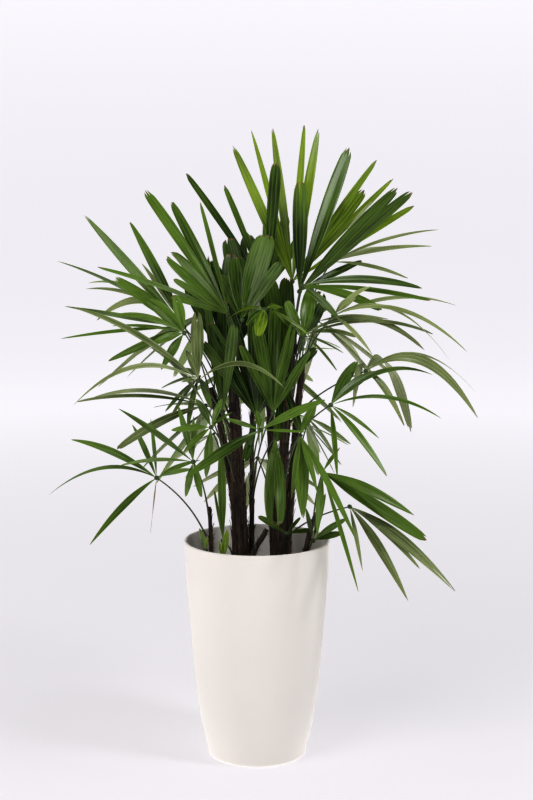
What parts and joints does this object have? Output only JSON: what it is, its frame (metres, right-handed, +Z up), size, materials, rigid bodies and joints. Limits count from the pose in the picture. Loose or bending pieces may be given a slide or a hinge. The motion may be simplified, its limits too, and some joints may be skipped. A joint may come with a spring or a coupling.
{
  "type": "lady palm in a tall planter",
  "caption": "Lady palm with fibrous dark canes and fans of ribbed, strap-shaped leaflets, growing in a tall tapered white planter.",
  "frame": {"origin": "middle of the planter's flat underside, where it stands on the floor", "axes": "+Z up along the planter's axis, -Y towards the front of the plant, +X to the right as seen from the front"},
  "size_m": [1.1456, 1.0008, 1.6023],
  "materials": {
    "planter": "smooth satin off-white",
    "soil": "loose dark potting mix",
    "cane": "dark cane wrapped in coarse fibre",
    "leaf_dark": "glossy dark green leaf",
    "leaf_olive": "satin olive green leaf",
    "leaf_light": "satin light green leaf"
  },
  "bodies": {
    "root": {"planter": "planter", "soil": "soil", "cane_main": "cane", "cane_slim": "cane", "cane_right": "cane", "cane_left": "cane", "cane_stub": "cane", "cane_front": "cane", "cane_back_left": "cane", "cane_back_right": "cane", "cane_back": "cane", "frond_top_front": "leaf_dark", "frond_top_back": "leaf_light", "frond_right_high": "leaf_olive", "frond_right_arch": "leaf_dark", "frond_right_shoulder": "leaf_olive", "frond_left_top": "leaf_dark", "frond_middle_top": "leaf_dark", "frond_left_wide": "leaf_dark", "frond_left_rear": "leaf_olive", "frond_left_fore": "leaf_olive", "frond_left_middle": "leaf_olive", "frond_left_inner": "leaf_dark", "frond_left_low": "leaf_dark", "frond_young_star": "leaf_dark", "frond_hanging": "leaf_dark", "frond_right_middle": "leaf_dark", "frond_right_wide": "leaf_olive", "frond_front_middle": "leaf_dark", "frond_right_lower": "leaf_dark", "frond_right_low": "leaf_olive", "frond_rim_middle": "leaf_dark", "frond_rim_right": "leaf_dark", "frond_rim_left": "leaf_light", "frond_rim_strap": "leaf_dark", "frond_rim_front": "leaf_light", "frond_centre_bent": "leaf_light", "frond_upright_left": "leaf_dark", "frond_upright_middle": "leaf_dark", "frond_upright_right": "leaf_olive", "frond_upright_front": "leaf_dark", "frond_side_left": "leaf_dark", "frond_side_left_low": "leaf_olive", "frond_side_right": "leaf_dark", "frond_side_right_low": "leaf_dark", "frond_back_top": "leaf_dark", "frond_back_left_top": "leaf_dark", "frond_back_right_top": "leaf_olive", "frond_back_middle": "leaf_dark", "frond_back_left_low": "leaf_dark", "frond_back_right_low": "leaf_dark", "frond_back_low": "leaf_olive", "frond_front_left": "leaf_dark", "frond_front_high": "leaf_dark", "frond_front_outer_left": "leaf_dark", "frond_front_outer_right": "leaf_dark", "frond_inner_left": "leaf_dark", "frond_inner_middle": "leaf_dark", "frond_inner_right": "leaf_dark"}
  },
  "joints": []
}
